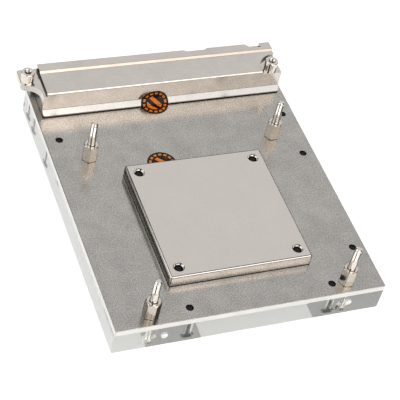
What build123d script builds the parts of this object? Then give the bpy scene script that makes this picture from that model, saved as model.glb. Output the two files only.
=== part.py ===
from build123d import *
import os
from math import atan2, hypot, tan

# Monoblock water block, lying on its clear cover with the contact side up.
# Millimetres. The origin is the centre of the cold plate's contact face.
# +X runs along the front edge, +Y towards the cooling bar, +Z out of the face.

os.makedirs("parts", exist_ok=True)

# Outline of the block
plate_width = 110.0
plate_depth = 129.0
front_edge_to_centre = 45.25
outline_corner_radius = 0.5

# Clear cover
cover_thickness = 10.4
cover_edge_chamfer = 0.3
channel_depth = 4.0
channel_corner_radius = 2.0
port_radius = 5.9

# Base plate
plate_thickness = 2.6
plate_edge_chamfer = 0.2

# Cold plate
cold_plate_side = 58.5
cold_plate_height = 5.0
cold_plate_corner_radius = 1.0
cold_plate_edge_chamfer = 0.6
cold_screw_inset = 4.75
screw_mouth_radius = 2.45
fin_recess_depth = 3.0
fin_recess_corner_radius = 2.0
fin_thickness = 0.4
fin_pitch = 1.0

# Jet plate
jet_plate_thickness = 0.6
jet_plate_side_gap = 0.2
jet_slot_width = 2.0

# Water channels round the middle of the cold plate
plenum_width = 7.0
island_wall = 2.3
side_channel_width = 4.0
collector_width = 7.5
return_slot_width = 4.5
slot_edge_gap = 0.25
fin_side_gap = 1.0
recess_side_gap = 2.0
neck_width = 6.0

# O-rings and their grooves
groove_width = 2.2
groove_depth = 1.4
groove_corner_radius = 4.0
groove_wall = 1.2
ring_width = 1.8
ring_edge_radius = 0.45
main_groove_to_cold_screw = 4.9
main_groove_to_cold_plate_edge = 3.65

# Cooling bar
bar_left_gap = 2.5
bar_right_gap = 1.9
bar_depth = 19.0
bar_height = 12.3
bar_rear_land_rise = 0.9
bar_rear_land_width = 4.2
foot_rim_height = 0.8
foot_height = 2.9
foot_reach = 1.8
bar_edge_chamfer = 0.5
bar_corner_radius = 1.0
seat_height = 10.0
end_step_width = 1.4
corner_pocket_radius = 8.8
corner_pocket_inset = 0.3
corner_pocket_setback = 1.5
shallow_notch_from_end = 29.0
shallow_notch_width = 11.0
shallow_notch_depth = 0.85
shallow_notch_slope = 1.6
deep_notch_from_end = 4.8
deep_notch_width = 6.8
deep_notch_depth = 2.4
deep_notch_drop = 1.6
deep_notch_slope = 2.4

# Water pocket under the bar
bar_pocket_end_margin = 9.5
bar_pocket_from_back = 9.25
bar_pocket_width = 7.0
bar_pocket_depth = 7.0
bar_fin_length = 56.0
bar_fin_thickness = 0.8
bar_fin_pitch = 1.75
bar_fin_tip_gap = 0.5
bar_slot_length = 12.0
bar_slot_width = 6.0
bar_channel_width = 8.0
bar_channel_margin = 1.0

# Ear on the left end of the bar
ear_reach = 7.2
ear_depth = 9.5
ear_thickness = 3.0
ear_fillet_radius = 6.0
ear_back_corner_radius = 1.0
ear_front_corner_radius = 2.0

# Threaded standoffs
standoff_radius = 2.75
standoff_height = 4.7
standoff_bore_radius = 1.4
standoff_spigot_radius = 1.95
standoff_edge_chamfer = 0.25
ear_standoff_inset = 3.0
pocket_standoff_from_end = 4.6
pocket_standoff_from_face = 2.8

# Posts round the cold plate
post_spacing = 80.0
spacer_across_flats = 5.5
spacer_height = 8.0
spacer_point_width = 0.55
spacer_point_height = 0.35
post_shank_radius = 1.55
post_shoulder_height = 12.0
post_thread_radius = 1.375
post_tip_height = 19.3
post_tip_chamfer = 0.5
post_head_radius = 2.75
post_head_height = 3.0
post_socket_across_flats = 2.5
post_socket_depth = 1.6

# Countersunk screws
screw_head_radius = 2.8
screw_head_rim = 0.2
screw_shank_radius = 1.45
screw_socket_across_flats = 2.0
screw_socket_depth = 1.1
screw_tip_chamfer = 0.3
head_recess = 0.3
screw_clearance = 0.15
thread_gap = 0.05

# Where the screws end, from the plate's top, and how much room their tips get
cover_screw_tip = -0.5
cold_screw_tip = 3.95
bar_screw_tip = 5.0
tip_room = 1.0

# Places of the cover's screws
front_screw_inset = 5.3
right_screw_inset = 5.2
left_screw_inset = 5.8
front_left_screw_to_post = 15.4
front_right_screw_to_post = 6.0
rear_screw_to_bar = 13.2
right_middle_screw_y = 27.95
right_front_screw_y = -24.35

# Places of the bar's screws
bar_screw_inset = 3.4
bar_screw_from_back = 4.75
bar_screw_row_gap = 8.5

# Paper seals
seal_radius = 6.1
seal_thickness = 0.15
foot_seal_x = -4.1
foot_seal_rise = 1.3
edge_seal_x = -11.5
edge_seal_to_wall = 2.95

# Levels
plate_top = -cold_plate_height
plate_bottom = plate_top - plate_thickness
cover_bottom = plate_bottom - cover_thickness
channel_floor = plate_bottom - channel_depth
screw_head_level = cover_bottom + head_recess
bar_top = plate_top + bar_height
bar_main_top = bar_top - bar_rear_land_rise
seat_level = plate_top + seat_height
ear_bottom = seat_level - ear_thickness

# Edges of the block and of the bar
left_edge = -plate_width / 2
right_edge = plate_width / 2
front_edge = -front_edge_to_centre
back_edge = plate_depth - front_edge_to_centre
bar_left = left_edge + bar_left_gap
bar_right = right_edge - bar_right_gap
bar_front = back_edge - bar_depth
bar_face = bar_front + foot_reach
ear_left = bar_left - ear_reach
ear_front = back_edge - ear_depth

# Channels and fins, worked inwards from the cold plate's edge
cold_screw_place = cold_plate_side / 2 - cold_screw_inset
main_groove_x = cold_screw_place - main_groove_to_cold_screw
main_groove_y = cold_plate_side / 2 - main_groove_to_cold_plate_edge
groove_to_channel = groove_width / 2 + groove_wall
ring_channel_x = main_groove_x - groove_to_channel
ring_channel_y = main_groove_y - groove_to_channel
island_x = ring_channel_x - side_channel_width
island_y = ring_channel_y - collector_width
jet_slot_length = 2 * (island_x - island_wall)
return_slot_y = ring_channel_y - collector_width / 2
fin_length = 2 * (return_slot_y - return_slot_width / 2 - slot_edge_gap)
fin_recess_length = 2 * (return_slot_y + return_slot_width / 2 + slot_edge_gap)
fin_recess_width = jet_slot_length + 2 * recess_side_gap
cold_groove_x = fin_recess_width / 2 + groove_to_channel
cold_groove_y = fin_recess_length / 2 + groove_to_channel
neck_right = neck_width - ring_channel_x

# The bar's water pocket and its slots
bar_pocket_left = bar_left + bar_pocket_end_margin
bar_pocket_right = bar_right - bar_pocket_end_margin
bar_pocket_y = back_edge - bar_pocket_from_back
left_slot_x = bar_pocket_left + bar_channel_margin + bar_slot_length / 2
right_slot_x = bar_pocket_right - bar_channel_margin - bar_slot_length / 2
bar_channel_left = left_slot_x - bar_slot_length / 2
bar_channel_right = right_slot_x + bar_slot_length / 2
bar_groove_reach = bar_channel_width / 2 + groove_to_channel

# O-ring routes
main_route = [
    (-main_groove_x, -main_groove_y),
    (main_groove_x, -main_groove_y),
    (main_groove_x, main_groove_y),
    (neck_right + groove_to_channel, main_groove_y),
    (neck_right + groove_to_channel, bar_pocket_y - bar_groove_reach),
    (bar_channel_right + groove_to_channel, bar_pocket_y - bar_groove_reach),
    (bar_channel_right + groove_to_channel, bar_pocket_y + bar_groove_reach),
    (bar_channel_left - groove_to_channel, bar_pocket_y + bar_groove_reach),
    (bar_channel_left - groove_to_channel, bar_pocket_y - bar_groove_reach),
    (-main_groove_x, bar_pocket_y - bar_groove_reach),
]

# Places of the fasteners
post_half_spacing = post_spacing / 2
post_places = {
    "front_left": (-post_half_spacing, -post_half_spacing),
    "front_right": (post_half_spacing, -post_half_spacing),
    "back_right": (post_half_spacing, post_half_spacing),
    "back_left": (-post_half_spacing, post_half_spacing),
}
spacer_turns = {"front_left": 34.6, "front_right": 50.6, "back_right": 0.0, "back_left": 9.6}
front_screw_y = front_edge + front_screw_inset
rear_screw_y = bar_front - rear_screw_to_bar
cover_screw_places = [
    (-post_half_spacing + front_left_screw_to_post, front_screw_y),
    (post_half_spacing - front_right_screw_to_post, front_screw_y),
    (right_edge - right_screw_inset, right_front_screw_y),
    (right_edge - right_screw_inset, right_middle_screw_y),
    (right_edge - right_screw_inset, rear_screw_y),
    (left_edge + left_screw_inset, rear_screw_y),
]
cold_screw_places = [(i * cold_screw_place, j * cold_screw_place) for i in (-1, 1) for j in (-1, 1)]
bar_screw_places = [
    (x, back_edge - bar_screw_from_back - row * bar_screw_row_gap)
    for x in (bar_left + bar_screw_inset, bar_right - bar_screw_inset)
    for row in (0, 1)
]
ear_standoff_place = (ear_left + ear_standoff_inset, ear_front + ear_standoff_inset)
pocket_standoff_place = (bar_right - pocket_standoff_from_end, bar_face + pocket_standoff_from_face)


def cylinder(x, y, bottom, top, radius):
    """Upright cylinder between two levels."""
    return extrude(Pos(x, y, bottom) * Circle(radius), amount=top - bottom)


def block(x, y, width, depth, bottom, top, corner=0.0):
    """Upright block about a centre, with round upright edges if a corner radius is given."""
    outline = RectangleRounded(width, depth, corner) if corner else Rectangle(width, depth)
    return extrude(Pos(x, y, bottom) * outline, amount=top - bottom)


def span_block(left, right, front, back, bottom, top, corner=0.0):
    """Upright block between four sides."""
    middle_x = (left + right) / 2
    middle_y = (front + back) / 2
    return block(middle_x, middle_y, right - left, back - front, bottom, top, corner)


def slab(bottom, top):
    """Plate of the block's outline."""
    return span_block(left_edge, right_edge, front_edge, back_edge, bottom, top, outline_corner_radius)


def turned(x, y, points):
    """Turned solid about an upright axis, from its (radius, level) points."""
    return Pos(x, y, 0) * revolve(Plane.XZ * make_face(Polyline(*points, close=True)), Axis.Z)


def hex_prism(x, y, across_flats, bottom, top, turn=0.0):
    """Upright hexagonal prism."""
    outline = RegularPolygon(across_flats / 2, 6, major_radius=False, rotation=turn)
    return extrude(Pos(x, y, bottom) * outline, amount=top - bottom)


def box_route(left, right, front, back):
    """Corners of a rectangular route."""
    return [(left, front), (right, front), (right, back), (left, back)]


def route_band(route, width, bottom, top):
    """Closed band of one width along a route with round corners."""
    loop = make_face(FilletPolyline(*route, radius=groove_corner_radius, close=True))
    band = offset(loop, amount=width / 2) - offset(loop, amount=-width / 2)
    return extrude(Pos(0, 0, bottom) * band, amount=top - bottom)


def o_ring(route, bottom):
    """O-ring squeezed flat in a groove of the given bottom level."""
    ring = route_band(route, ring_width, bottom, bottom + groove_depth)
    return fillet(ring.faces().filter_by(Axis.Z).edges(), ring_edge_radius)


cold_route = box_route(-cold_groove_x, cold_groove_x, -cold_groove_y, cold_groove_y)
bar_route = box_route(
    bar_pocket_left - groove_to_channel,
    bar_pocket_right + groove_to_channel,
    bar_pocket_y - bar_pocket_width / 2 - groove_to_channel,
    bar_pocket_y + bar_pocket_width / 2 + groove_to_channel,
)


# Screws
def cone_end(radius):
    """Level where the countersunk cone comes down to a radius."""
    return screw_head_level + screw_head_rim + screw_head_radius - radius


def countersunk_hole(x, y, top):
    """Countersunk clearance hole from the cover's outer face up to a level."""
    wide = screw_head_radius + screw_clearance
    narrow = screw_shank_radius + screw_clearance
    points = [(0, cover_bottom), (wide, cover_bottom), (wide, cone_end(wide))]
    points += [(narrow, cone_end(narrow)), (narrow, top), (0, top)]
    return turned(x, y, points)


def countersunk_screw(x, y, tip):
    """Countersunk socket screw that points up."""
    points = [
        (0, screw_head_level),
        (screw_head_radius, screw_head_level),
        (screw_head_radius, cone_end(screw_head_radius)),
        (screw_shank_radius, cone_end(screw_shank_radius)),
        (screw_shank_radius, tip - screw_tip_chamfer),
        (screw_shank_radius - screw_tip_chamfer, tip),
        (0, tip),
    ]
    socket_top = screw_head_level + screw_socket_depth
    socket = hex_prism(x, y, screw_socket_across_flats, screw_head_level, socket_top)
    return turned(x, y, points) - socket


def screw_group(places, tip):
    """Equal screws as separate solids."""
    return Compound([countersunk_screw(x, y, tip) for x, y in places])


def post_screw_hole(x, y):
    """Counterbored clearance hole for a post screw, through the cover."""
    seat = screw_head_level + post_head_height
    head_room = cylinder(x, y, cover_bottom, seat, post_head_radius + screw_clearance)
    return head_room + cylinder(x, y, cover_bottom, plate_bottom, post_shank_radius + screw_clearance)


def make_post_screw(x, y):
    """Long cap screw that stands out of its spacer with a shoulder and a thinner thread."""
    seat = screw_head_level + post_head_height
    shoulder = plate_top + post_shoulder_height
    tip = plate_top + post_tip_height
    points = [
        (0, screw_head_level),
        (post_head_radius, screw_head_level),
        (post_head_radius, seat),
        (post_shank_radius, seat),
        (post_shank_radius, shoulder),
        (post_thread_radius, shoulder),
        (post_thread_radius, tip - post_tip_chamfer),
        (post_thread_radius - post_tip_chamfer, tip),
        (0, tip),
    ]
    socket_top = screw_head_level + post_socket_depth
    socket = hex_prism(x, y, post_socket_across_flats, screw_head_level, socket_top)
    return turned(x, y, points) - socket


def make_post_spacer(x, y, turn):
    """Hexagonal spacer that stands on the plate, its corners turned to a cone at both ends."""
    top = plate_top + spacer_height
    body = hex_prism(x, y, spacer_across_flats, plate_top, top, turn)
    reach = max(hypot(v.X - x, v.Y - y) for v in body.vertices())
    face_radius = reach - spacer_point_width
    points = [(0, plate_top), (face_radius, plate_top), (reach, plate_top + spacer_point_height)]
    points += [(reach, top - spacer_point_height), (face_radius, top), (0, top)]
    bore = cylinder(x, y, plate_top, top, post_shank_radius + thread_gap)
    return (body & turned(x, y, points)) - bore


# Clear cover
def cover_channels():
    """Plenum, ring channel round it, neck to the bar, and the bar's two channels."""
    ring = block(
        0, 0, 2 * ring_channel_x, 2 * ring_channel_y, channel_floor, plate_bottom, channel_corner_radius
    )
    ring -= block(0, 0, 2 * island_x, 2 * island_y, channel_floor, plate_bottom, channel_corner_radius)
    plenum = block(0, 0, jet_slot_length, plenum_width, channel_floor, plate_bottom, channel_corner_radius)
    bar_front_side = bar_pocket_y - bar_channel_width / 2
    bar_back_side = bar_pocket_y + bar_channel_width / 2
    neck = span_block(
        -ring_channel_x, neck_right, island_y, bar_back_side,
        channel_floor, plate_bottom, channel_corner_radius,
    )
    feed = span_block(
        bar_channel_left, neck_right, bar_front_side, bar_back_side,
        channel_floor, plate_bottom, channel_corner_radius,
    )
    outlet = span_block(
        bar_channel_right - bar_slot_length, bar_channel_right, bar_front_side, bar_back_side,
        channel_floor, plate_bottom, channel_corner_radius,
    )
    return [ring + neck + feed, plenum, outlet]


def make_clear_cover():
    """Clear block with the channels, the main groove, the two ports and the screw holes."""
    cover = slab(cover_bottom, plate_bottom)
    cover = chamfer(cover.edges().group_by(Axis.Z)[0], cover_edge_chamfer)
    cover -= cover_channels()
    cover -= route_band(main_route, groove_width, plate_bottom - groove_depth, plate_bottom)
    cover -= [
        cylinder(x, y, cover_bottom, channel_floor, port_radius)
        for x, y in ((0, 0), (right_slot_x, bar_pocket_y))
    ]
    cover -= [
        countersunk_hole(x, y, plate_bottom)
        for x, y in cover_screw_places + cold_screw_places + bar_screw_places
    ]
    cover -= [post_screw_hole(x, y) for x, y in post_places.values()]
    return cover


# Base plate
def make_base_plate():
    """Thin plate over the channels, with its water slots and screw holes."""
    plate = slab(plate_bottom, plate_top)
    plate = chamfer(plate.edges().group_by(Axis.Z)[-1], plate_edge_chamfer)
    slots = [(0, 0, jet_slot_length, jet_slot_width)]
    slots += [(0, side * return_slot_y, jet_slot_length, return_slot_width) for side in (-1, 1)]
    slots += [(x, bar_pocket_y, bar_slot_length, bar_slot_width) for x in (left_slot_x, right_slot_x)]
    plate -= [
        extrude(Pos(x, y, plate_bottom) * SlotOverall(length, width), amount=plate_thickness)
        for x, y, length, width in slots
    ]
    plate -= [
        cylinder(x, y, plate_bottom, plate_top, screw_shank_radius + thread_gap)
        for x, y in cover_screw_places
    ]
    plate -= [
        cylinder(x, y, plate_bottom, plate_top, screw_shank_radius + screw_clearance)
        for x, y in cold_screw_places + bar_screw_places
    ]
    plate -= [
        cylinder(x, y, plate_bottom, plate_top, post_shank_radius + screw_clearance)
        for x, y in post_places.values()
    ]
    return plate


# Cold plate
def fin_field():
    """Row of thin fins that hang from the recess's ceiling, open at both ends."""
    count = int((fin_recess_width - 2 * fin_side_gap) / fin_pitch)
    first = -(count - 1) * fin_pitch / 2
    fin_tip = plate_top + jet_plate_thickness
    fin = block(0, 0, fin_thickness, fin_length, fin_tip, plate_top + fin_recess_depth)
    return [Pos(first + i * fin_pitch, 0, 0) * fin for i in range(count)]


def make_cold_plate():
    """Square contact plate with its recess of fins, its seal groove and four cone-mouthed screw holes."""
    plate = block(0, 0, cold_plate_side, cold_plate_side, plate_top, 0, cold_plate_corner_radius)
    plate = chamfer(plate.edges().group_by(Axis.Z)[-1], cold_plate_edge_chamfer)
    recess = block(
        0, 0, fin_recess_width, fin_recess_length,
        plate_top, plate_top + fin_recess_depth, fin_recess_corner_radius,
    )
    plate -= recess - fin_field()
    plate -= route_band(cold_route, groove_width, plate_top, plate_top + groove_depth)
    bore = screw_shank_radius + thread_gap
    cone_depth = screw_mouth_radius - bore
    hole = [(0, plate_top), (bore, plate_top), (bore, -cone_depth), (screw_mouth_radius, 0), (0, 0)]
    plate -= [turned(x, y, hole) for x, y in cold_screw_places]
    return plate


def make_jet_plate():
    """Thin plate over the fins with the slot that feeds their middle."""
    top = plate_top + jet_plate_thickness
    plate = block(0, 0, fin_recess_width - 2 * jet_plate_side_gap, fin_length, plate_top, top)
    slot = Pos(0, 0, plate_top) * SlotOverall(jet_slot_length, jet_slot_width)
    return plate - extrude(slot, amount=jet_plate_thickness)


# Cooling bar
def bar_blank():
    """Bar with its sloped foot, chamfered front edge and raised rear land."""
    land_front = back_edge - bar_rear_land_width
    points = [
        (bar_front, plate_top),
        (bar_front, plate_top + foot_rim_height),
        (bar_face, plate_top + foot_height),
        (bar_face, bar_main_top - bar_edge_chamfer),
        (bar_face + bar_edge_chamfer, bar_main_top),
        (land_front - bar_rear_land_rise, bar_main_top),
        (land_front, bar_top),
        (back_edge, bar_top),
        (back_edge, plate_top),
    ]
    section = Plane.YZ * make_face(Polyline(*points, close=True))
    blank = extrude(Pos(bar_left, 0, 0) * section, amount=bar_right - bar_left)
    middle = Pos((bar_left + bar_right) / 2, (bar_front + back_edge) / 2, plate_top)
    plan = Rectangle(bar_right - bar_left, bar_depth)
    plan = fillet(plan.vertices().group_by(Axis.Y)[0], bar_corner_radius)
    blank &= extrude(middle * plan, amount=bar_height)
    return blank - span_block(bar_left, bar_left + end_step_width, bar_front, back_edge, seat_level, bar_top)


def ear():
    """Flat ear off the bar's left end, with a concave web into the end face."""
    arm_right = bar_left + end_step_width
    arm = Pos((ear_left + arm_right) / 2, (ear_front + back_edge) / 2)
    arm *= Rectangle(arm_right - ear_left, ear_depth)
    outer_corners = arm.vertices().group_by(Axis.X)[0].sort_by(Axis.Y)
    arm = fillet(outer_corners[0], ear_front_corner_radius)
    outer_back = arm.vertices().group_by(Axis.Y)[-1].sort_by(Axis.X)[0]
    arm = fillet(outer_back, ear_back_corner_radius)
    web_corner = Pos(bar_left - ear_fillet_radius, ear_front - ear_fillet_radius)
    web = Rectangle(ear_fillet_radius + end_step_width, ear_fillet_radius, align=(Align.MIN, Align.MIN))
    web = web_corner * (web - Circle(ear_fillet_radius))
    return extrude(Pos(0, 0, ear_bottom) * (arm + web), amount=ear_thickness)


def shallow_notch():
    """Shallow notch down the bar's back with both ends sloped."""
    right = bar_right - shallow_notch_from_end
    left = right - shallow_notch_width
    floor_y = back_edge - shallow_notch_depth
    points = [(left, back_edge), (left + shallow_notch_slope, floor_y)]
    points += [(right - shallow_notch_slope, floor_y), (right, back_edge)]
    return extrude(Pos(0, 0, plate_top) * make_face(Polyline(*points, close=True)), amount=bar_height)


def deep_notch():
    """Rebate in the rear land with one sloped end and one upright end."""
    right = bar_right - deep_notch_from_end
    left = right - deep_notch_width
    floor_y = back_edge - deep_notch_depth
    points = [(left, back_edge), (left + deep_notch_slope, floor_y), (right, floor_y), (right, back_edge)]
    outline = Pos(0, 0, bar_top - deep_notch_drop) * make_face(Polyline(*points, close=True))
    return extrude(outline, amount=deep_notch_drop)


def bar_water_pocket():
    """Long pocket under the bar with three fins left standing in it."""
    pocket_top = plate_top + bar_pocket_depth
    pocket = span_block(
        bar_pocket_left, bar_pocket_right,
        bar_pocket_y - bar_pocket_width / 2, bar_pocket_y + bar_pocket_width / 2,
        plate_top, pocket_top, channel_corner_radius,
    )
    middle_x = (bar_pocket_left + bar_pocket_right) / 2
    fins = [
        block(
            middle_x, bar_pocket_y + row * bar_fin_pitch, bar_fin_length, bar_fin_thickness,
            plate_top + bar_fin_tip_gap, pocket_top,
        )
        for row in (-1, 0, 1)
    ]
    return pocket - fins


def make_cooling_bar():
    """Stepped bar with its ear, corner pocket, rear notches, water pocket and screw holes."""
    bar = bar_blank() + ear()
    bar -= cylinder(
        bar_right - corner_pocket_inset, bar_face + corner_pocket_setback,
        seat_level, bar_top, corner_pocket_radius,
    )
    bar -= [shallow_notch(), deep_notch(), bar_water_pocket()]
    bar -= route_band(bar_route, groove_width, plate_top, plate_top + groove_depth)
    bar -= [
        cylinder(x, y, plate_top, plate_top + bar_screw_tip + tip_room, screw_shank_radius + thread_gap)
        for x, y in bar_screw_places
    ]
    bar -= [
        cylinder(x, y, ear_bottom, seat_level, standoff_spigot_radius + thread_gap)
        for x, y in (ear_standoff_place, pocket_standoff_place)
    ]
    return bar


def make_standoff(x, y):
    """Round threaded standoff whose spigot sits in the bar."""
    top = seat_level + standoff_height
    edge = standoff_radius - standoff_edge_chamfer
    points = [
        (standoff_bore_radius, ear_bottom),
        (standoff_spigot_radius, ear_bottom),
        (standoff_spigot_radius, seat_level),
        (standoff_radius, seat_level),
        (standoff_radius, top - standoff_edge_chamfer),
        (edge, top),
        (standoff_bore_radius, top),
    ]
    return turned(x, y, points)


# Paper seals
def bent_seal(x, path, centre):
    """Round paper seal bent along a path of (y, level) points, its centre given along the path."""
    runs = [Vector(0, b[0] - a[0], b[1] - a[1]) for a, b in zip(path, path[1:])]
    turns = [atan2(b.Z, b.Y) - atan2(a.Z, a.Y) for a, b in zip(runs, runs[1:])]
    mitres = [0.0] + [tan(turn / 2) * seal_thickness for turn in turns] + [0.0]
    disc = cylinder(centre, 0, 0, seal_thickness, seal_radius)
    pieces = []
    start = 0.0
    for i, run in enumerate(runs):
        end = start + run.length
        top_start = start + mitres[i]
        top_end = end - mitres[i + 1]
        points = [(start, 0), (end, 0), (top_end, seal_thickness), (top_start, seal_thickness)]
        strip = Plane.XZ * make_face(Polyline(*points, close=True))
        strip = extrude(strip, amount=seal_radius, both=True)
        laid = Plane(origin=(x, *path[i]), x_dir=run, z_dir=Vector(0, -run.Z, run.Y))
        pieces.append(laid * Pos(-start, 0, 0) * (strip & disc))
        start = end
    return pieces[0] + pieces[1:]


def make_foot_seal():
    """Seal over the joint of the plate and the bar's foot."""
    lead = 2 * seal_radius
    path = [
        (bar_front - lead, plate_top),
        (bar_front, plate_top),
        (bar_front, plate_top + foot_rim_height),
        (bar_face, plate_top + foot_height),
        (bar_face, seat_level),
    ]
    return bent_seal(foot_seal_x, path, lead + foot_seal_rise)


def make_edge_seal():
    """Seal over the joint of the cold plate's rear wall and the plate."""
    wall_y = cold_plate_side / 2
    wall_height = cold_plate_height - cold_plate_edge_chamfer
    path = [
        (wall_y, plate_top + wall_height),
        (wall_y, plate_top),
        (wall_y + 2 * seal_radius, plate_top),
    ]
    return bent_seal(edge_seal_x, path, wall_height + edge_seal_to_wall)


# All pieces by name
nodes = {
    "clear_cover": make_clear_cover(),
    "base_plate": make_base_plate(),
    "cold_plate": make_cold_plate(),
    "jet_plate": make_jet_plate(),
    "cooling_bar": make_cooling_bar(),
    "main_o_ring": o_ring(main_route, plate_bottom - groove_depth),
    "cold_plate_o_ring": o_ring(cold_route, plate_top),
    "bar_o_ring": o_ring(bar_route, plate_top),
    "ear_standoff": make_standoff(*ear_standoff_place),
    "pocket_standoff": make_standoff(*pocket_standoff_place),
    "cover_screws": screw_group(cover_screw_places, plate_top + cover_screw_tip),
    "cold_plate_screws": screw_group(cold_screw_places, plate_top + cold_screw_tip),
    "cooling_bar_screws": screw_group(bar_screw_places, plate_top + bar_screw_tip),
    "foot_seal": make_foot_seal(),
    "edge_seal": make_edge_seal(),
}
for corner, (x, y) in post_places.items():
    nodes["post_spacer_" + corner] = make_post_spacer(x, y, spacer_turns[corner])
    nodes["post_screw_" + corner] = make_post_screw(x, y)

for name, shape in nodes.items():
    export_step(shape, f"parts/{name}.step")
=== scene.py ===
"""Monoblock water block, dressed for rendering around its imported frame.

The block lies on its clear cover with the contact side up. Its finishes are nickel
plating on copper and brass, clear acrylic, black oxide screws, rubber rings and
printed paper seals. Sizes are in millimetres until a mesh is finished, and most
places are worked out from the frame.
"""

import logging
import math
from abc import ABC, abstractmethod
from dataclasses import dataclass
from enum import Enum, IntEnum
from typing import Callable, Iterable, Sequence

import bmesh
import bpy
from mathutils import Matrix, Quaternion, Vector


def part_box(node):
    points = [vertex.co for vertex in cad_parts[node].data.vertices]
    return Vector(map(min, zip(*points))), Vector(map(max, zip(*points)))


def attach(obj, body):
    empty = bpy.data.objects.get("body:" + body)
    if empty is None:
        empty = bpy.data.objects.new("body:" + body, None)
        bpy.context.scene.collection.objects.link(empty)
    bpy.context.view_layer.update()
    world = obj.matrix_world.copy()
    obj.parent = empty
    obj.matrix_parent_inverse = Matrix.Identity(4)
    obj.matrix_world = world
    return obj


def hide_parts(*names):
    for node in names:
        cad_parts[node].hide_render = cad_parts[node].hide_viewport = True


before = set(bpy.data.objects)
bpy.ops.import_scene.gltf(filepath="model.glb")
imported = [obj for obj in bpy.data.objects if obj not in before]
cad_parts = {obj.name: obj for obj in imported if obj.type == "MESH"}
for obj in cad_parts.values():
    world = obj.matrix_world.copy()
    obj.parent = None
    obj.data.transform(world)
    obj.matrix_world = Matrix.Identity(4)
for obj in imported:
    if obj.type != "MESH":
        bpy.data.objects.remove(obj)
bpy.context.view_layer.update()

Tree = bpy.types.NodeTree
Node = bpy.types.Node
Socket = bpy.types.NodeSocket
Object = bpy.types.Object
BMesh = bmesh.types.BMesh
Pair = tuple[float, float]
Places = Sequence[Pair]

LOG = logging.getLogger("water_block")
BODY = "root"
MM = 0.001
UP = Vector((0.0, 0.0, 1.0))
WELD = 0.0005
FACETS = 64
SCREW_FACETS = 32
HEX_SIDES = 6
M3_PITCH = 0.5

# Turns in degrees: two faces are one below the first, and an edge is sharp above the others.
FLAT_TURN, SHARP_TURN, CREASE = 0.5, 30.0, 35.0

# Upward part of a normal: that of an upright face is below the first, of a level one over the second.
UPRIGHT, LEVEL = 0.3, 0.9

# Joint round a foot, painted dark as shade: height, zone along the sides that is drawn in, and height of the
# ledge over it.
JOINT_HEIGHT, JOINT_ZONE, JOINT_LEDGE = 0.3, 1.05, 0.02
# Index of the painted shade among a piece's finishes.
PAINTED_SHADE_INDEX = 1

# Levels between which nearly all of a noise lies, and closer ones that make a crisp mottle.
NOISE_LOW, NOISE_HIGH = 0.3, 0.7
MOTTLE_LOW, MOTTLE_HIGH = 0.35, 0.65

# How many finer copies of itself a noise holds.
PLAIN_DETAIL, FINE_DETAIL, CLOUD_DETAIL = 2.0, 3.0, 4.0

# How far the hexagon of each post is turned, in degrees.
POST_TURNS = {"front_left": 34.6, "front_right": 50.6, "back_right": 0.0, "back_left": 9.6}

# Path of each seal as (y, level) from the foot of the wall that it climbs, and its middle along that path.
FOOT_PATH, FOOT_MIDDLE = ((-12.2, 0.0), (0.0, 0.0), (0.0, 0.8), (1.8, 2.9), (1.8, 10.0)), 13.5
EDGE_PATH, EDGE_MIDDLE = ((0.0, 4.4), (0.0, 0.0), (12.2, 0.0)), 7.35


class Slot(str, Enum):
    """Material slots of the record for the kinds of new pieces."""

    ACRYLIC = "clear_acrylic"
    PLATE = "satin_nickel"
    CONTACT = "polished_nickel"
    BAR = "bar_nickel"
    BRIGHT = "bright_nickel"
    BLACK = "black_steel"
    PAPER = "seal_paper"


class Lay(Enum):
    """Direction in which a tool left its fine marks on a metal face."""

    NONE = (1.0, 1.0, 1.0)
    ALONG_X = (0.04, 1.0, 1.0)
    ALONG_Y = (1.0, 0.04, 1.0)
    TURNED = (0.02, 0.02, 1.0)
    DRAWN = (1.0, 1.0, 0.03)


class Mix(IntEnum):
    """Colour sockets of the Mix node."""

    FACTOR = 0
    FIRST = 6
    SECOND = 7
    RESULT = 2


def linear(code: str) -> tuple[float, float, float, float]:
    """Turns an sRGB hex colour into linear values.

    Args:
        code: Colour as "#rrggbb".

    Returns:
        Red, green, blue and an alpha of one, linear.
    """
    parts = [int(code[i : i + 2], 16) / 255 for i in (1, 3, 5)]
    red, green, blue = (c / 12.92 if c <= 0.04045 else ((c + 0.055) / 1.055) ** 2.4 for c in parts)
    return red, green, blue, 1.0


def per_size(size: float) -> float:
    """Scale of a texture, in features for each metre, from a feature's size in millimetres."""
    return 1 / (size * MM)


def add_node(tree: Tree, kind: str, inputs: dict[str | int, object], **settings: object) -> Node:
    """Adds a node with its settings, values and links.

    Args:
        tree: Node tree that gets the node.
        kind: Blender's identifier of the node.
        inputs: For each socket a value, or the output socket that feeds it.
        **settings: Properties of the node itself.

    Returns:
        The new node.
    """
    node = tree.nodes.new(kind)
    for key, value in settings.items():
        setattr(node, key, value)
    for key, value in inputs.items():
        if isinstance(value, Socket):
            tree.links.new(value, node.inputs[key])
        else:
            node.inputs[key].default_value = value
    return node


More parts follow.
